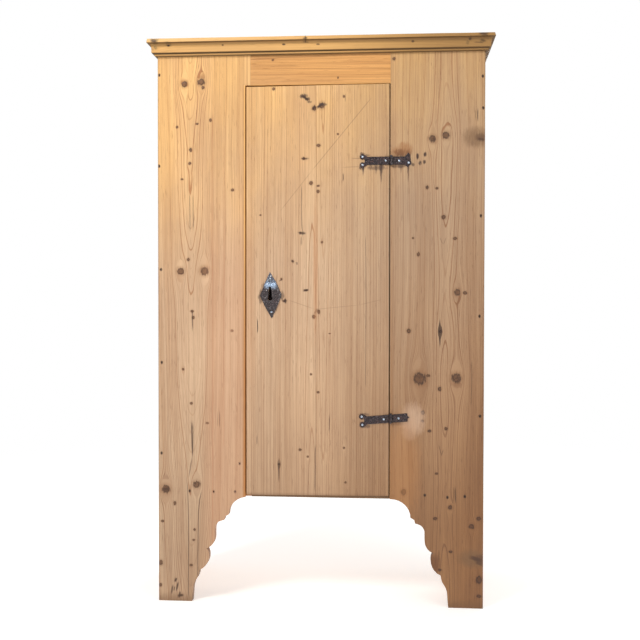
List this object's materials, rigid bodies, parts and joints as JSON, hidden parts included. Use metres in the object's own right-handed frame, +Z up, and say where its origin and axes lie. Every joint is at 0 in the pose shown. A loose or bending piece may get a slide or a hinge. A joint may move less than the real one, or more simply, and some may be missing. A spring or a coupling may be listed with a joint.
{
  "type": "armoire",
  "caption": "Single-door country pine armoire with scalloped bracket feet, a moulded cornice, forged strap hinges and a rim lock.",
  "frame": {"origin": "on the floor, under the middle of the armoire's box", "axes": "+Z up, +X to the right of someone facing the door, and the door faces -Y"},
  "size_m": [1.114, 0.48, 1.83],
  "materials": {
    "stile_pine": "old stripped pine, waxed, satin",
    "rail_pine": "orange old pine, waxed, satin",
    "door_pine": "pale stripped pine, waxed, satin",
    "cornice_pine": "worn old pine moulding, satin",
    "inside_pine": "dry unfinished pine, matt",
    "forged_iron": "blackened forged iron, hammered, half gloss",
    "nail_iron": "rubbed iron nail heads, glossy"
  },
  "bodies": {
    "case": {"back_board_1": "inside_pine", "back_board_2": "inside_pine", "back_board_3": "inside_pine", "back_board_4": "inside_pine", "back_board_5": "inside_pine", "bottom_front_board": "inside_pine", "bottom_rear_board": "inside_pine", "coat_peg_1": "inside_pine", "coat_peg_2": "inside_pine", "coat_peg_3": "inside_pine", "coat_peg_4": "inside_pine", "cornice_front": "cornice_pine", "cornice_left_return": "cornice_pine", "cornice_right_return": "cornice_pine", "left_bottom_cleat": "inside_pine", "left_shelf_cleat": "inside_pine", "left_side_front_board": "stile_pine", "left_side_rear_board": "stile_pine", "left_stile": "stile_pine", "lock_keeper": "forged_iron", "lower_hinge_frame_leaf": "forged_iron", "lower_hinge_frame_nail_1": "nail_iron", "lower_hinge_pin": "forged_iron", "peg_rail": "inside_pine", "right_bottom_cleat": "inside_pine", "right_shelf_cleat": "inside_pine", "right_side_front_board": "stile_pine", "right_side_rear_board": "stile_pine", "right_stile": "stile_pine", "top_front_board": "inside_pine", "top_rail": "rail_pine", "top_rear_board": "inside_pine", "upper_hinge_frame_leaf": "forged_iron", "upper_hinge_frame_nail_1": "nail_iron", "upper_hinge_frame_nail_2": "nail_iron", "upper_hinge_pin": "forged_iron", "upper_shelf": "inside_pine"},
    "door": {"door_left_plank": "door_pine", "door_lower_ledge": "inside_pine", "door_right_plank": "door_pine", "door_upper_ledge": "inside_pine", "escutcheon": "forged_iron", "escutcheon_nail_1": "nail_iron", "escutcheon_nail_2": "nail_iron", "lock_case": "forged_iron", "lock_post": "forged_iron", "lock_spring": "forged_iron", "lower_hinge_door_leaf": "forged_iron", "lower_hinge_door_nail_1": "nail_iron", "lower_hinge_door_nail_2": "nail_iron", "lower_hinge_door_nail_3": "nail_iron", "upper_hinge_door_leaf": "forged_iron", "upper_hinge_door_nail_1": "nail_iron", "upper_hinge_door_nail_2": "nail_iron", "upper_hinge_door_nail_3": "nail_iron"},
    "bolt": {"lock_bolt": "forged_iron"}
  },
  "joints": [
    {"name": "door_swing", "type": "hinge", "parent": "case", "child": "door", "pos_m": [0.231, -0.2158, 1], "axis": [0, 0, 1], "range_deg": [0, 170]},
    {"name": "lock_bolt_throw", "type": "slide", "parent": "door", "child": "bolt", "axis": [-1, 0, 0], "range_m": [0, 0.014]}
  ]
}
